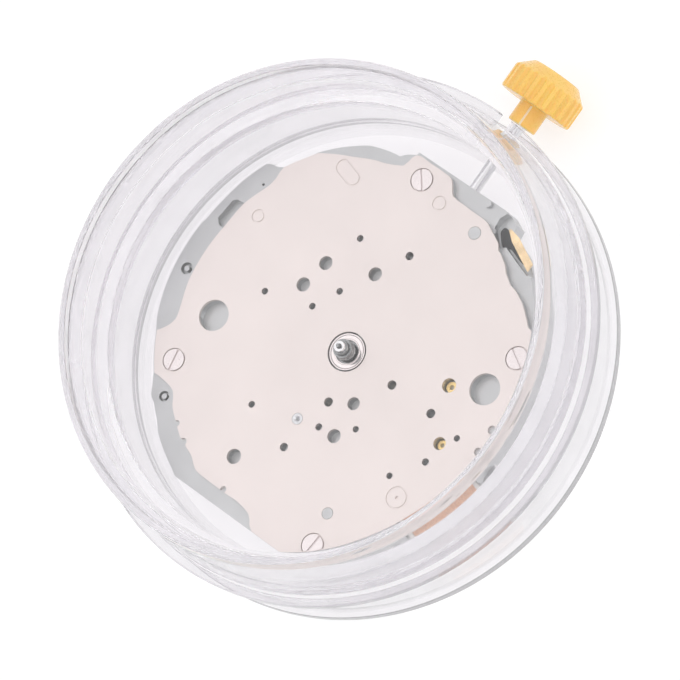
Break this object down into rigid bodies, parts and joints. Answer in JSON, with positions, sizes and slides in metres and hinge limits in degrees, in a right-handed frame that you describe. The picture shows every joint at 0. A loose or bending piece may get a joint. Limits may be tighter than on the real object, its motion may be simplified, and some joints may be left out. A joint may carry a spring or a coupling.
{
  "type": "quartz watch movement",
  "caption": "Round quartz watch movement, dial side up, in a clear two-part transport case, with its setting stem and ribbed orange knob through the case wall.",
  "frame": {"origin": "on the hands' axis, at the underside of the transport case", "axes": "+X out along the setting stem (3 o'clock), +Y to 12 o'clock, +Z to the dial side"},
  "size_m": [0.047, 0.0421, 0.0141],
  "materials": {
    "clear_plastic": "clear moulded styrene, glossy",
    "grey_plate": "matt nickel",
    "satin_plate": "pinkish satin nickel",
    "steel": "polished steel",
    "brass": "polished brass",
    "copper_wire": "enamelled copper winding",
    "jewel": "polished red ruby",
    "gold": "gold plated",
    "magnet": "dark sintered magnet",
    "motor_iron": "annealed motor iron",
    "black_plastic": "matt black plastic",
    "white_plastic": "matt white plastic",
    "board": "green board",
    "orange_plastic": "glossy orange moulding"
  },
  "bodies": {
    "movement": {"main_plate": "grey_plate", "dial_side_plate": "satin_plate", "plate_screws": "steel", "locating_pins": "grey_plate", "train_bushes": "brass", "plate_jewel": "jewel", "centre_tube": "brass", "wheel_studs": "steel", "stator": "motor_iron", "coil_core": "motor_iron", "coil_bobbin": "white_plastic", "coil_winding": "copper_wire", "battery_can": "steel", "battery_seal": "black_plastic", "battery_cap": "steel", "battery_contact": "gold", "battery_clamp": "steel", "clamp_screws": "steel", "train_bridge": "grey_plate", "bridge_jewels": "jewel", "bridge_screws": "steel", "circuit_board": "board", "circuit_cover": "steel", "circuit_chip": "black_plastic", "quartz_crystal": "steel", "cover_screws": "steel", "lever_studs": "steel", "yoke": "steel", "rim_spring": "gold"},
    "case_base": {"case_base": "clear_plastic"},
    "case_lid": {"case_lid": "clear_plastic"},
    "second": {"second_wheel": "brass"},
    "drive": {"drive_wheel": "brass"},
    "rotor": {"rotor_pinion": "steel", "rotor_magnet": "magnet"},
    "third": {"third_wheel": "brass"},
    "minute": {"centre_wheel": "brass", "cannon_pinion": "steel"},
    "motion": {"minute_wheel": "brass"},
    "hour": {"hour_wheel": "brass"},
    "setting": {"setting_wheel": "steel"},
    "clutch": {"sliding_clutch": "steel"},
    "stem": {"setting_stem": "steel", "setting_knob": "orange_plastic"},
    "lever": {"setting_lever": "steel"}
  },
  "joints": [
    {"name": "lid_lift", "type": "slide", "parent": "movement", "child": "case_lid", "axis": [0, 0, 1], "range_m": [0, 0.03]},
    {"name": "base_drop", "type": "slide", "parent": "movement", "child": "case_base", "axis": [0, 0, -1], "range_m": [0, 0.02]},
    {"name": "second_turn", "type": "hinge", "parent": "movement", "child": "second", "pos_m": [0, 0, 0.00259], "axis": [0, 0, 1], "continuous": true},
    {"name": "drive_turn", "type": "hinge", "parent": "movement", "child": "drive", "pos_m": [-0.00011, -0.00474, 0.0024], "axis": [0, 0, 1], "continuous": true},
    {"name": "rotor_turn", "type": "hinge", "parent": "movement", "child": "rotor", "pos_m": [-0.00019, -0.00878, 0.0027], "axis": [0, 0, 1], "continuous": true},
    {"name": "third_turn", "type": "hinge", "parent": "movement", "child": "third", "pos_m": [-0.00393, -0.00117, 0.0029], "axis": [0, 0, 1], "continuous": true},
    {"name": "minute_turn", "type": "hinge", "parent": "movement", "child": "minute", "pos_m": [0, 0, 0.004], "axis": [0, 0, 1], "continuous": true},
    {"name": "motion_turn", "type": "hinge", "parent": "movement", "child": "motion", "pos_m": [0.003, 0, 0.0042], "axis": [0, 0, 1], "continuous": true},
    {"name": "hour_turn", "type": "hinge", "parent": "movement", "child": "hour", "pos_m": [0, 0, 0.0046], "axis": [0, 0, 1], "continuous": true},
    {"name": "setting_turn", "type": "hinge", "parent": "movement", "child": "setting", "pos_m": [0.00675, 0, 0.00415], "axis": [0, 0, 1], "continuous": true},
    {"name": "crown_turn", "type": "hinge", "parent": "movement", "child": "clutch", "pos_m": [0.0097, 0, 0.0032], "axis": [1, 0, 0], "continuous": true},
    {"name": "crown_pull", "type": "slide", "parent": "clutch", "child": "stem", "axis": [1, 0, 0], "range_m": [0, 0.001]},
    {"name": "lever_swing", "type": "hinge", "parent": "movement", "child": "lever", "pos_m": [0.0122, 0.00214, 0.0038], "axis": [0, 0, 1], "range_deg": [0, 26.3]}
  ],
  "couplings": [
    {"joint": "drive_turn", "follows": "second_turn", "ratio": -3},
    {"joint": "rotor_turn", "follows": "second_turn", "ratio": 30},
    {"joint": "third_turn", "follows": "second_turn", "ratio": -0.13333},
    {"joint": "minute_turn", "follows": "second_turn", "ratio": 0.016667},
    {"joint": "motion_turn", "follows": "second_turn", "ratio": -0.0055556},
    {"joint": "hour_turn", "follows": "second_turn", "ratio": 0.0013889},
    {"joint": "setting_turn", "follows": "second_turn", "ratio": 0.0083333},
    {"joint": "lever_swing", "follows": "crown_pull", "rad_per_m": 458.55}
  ]
}
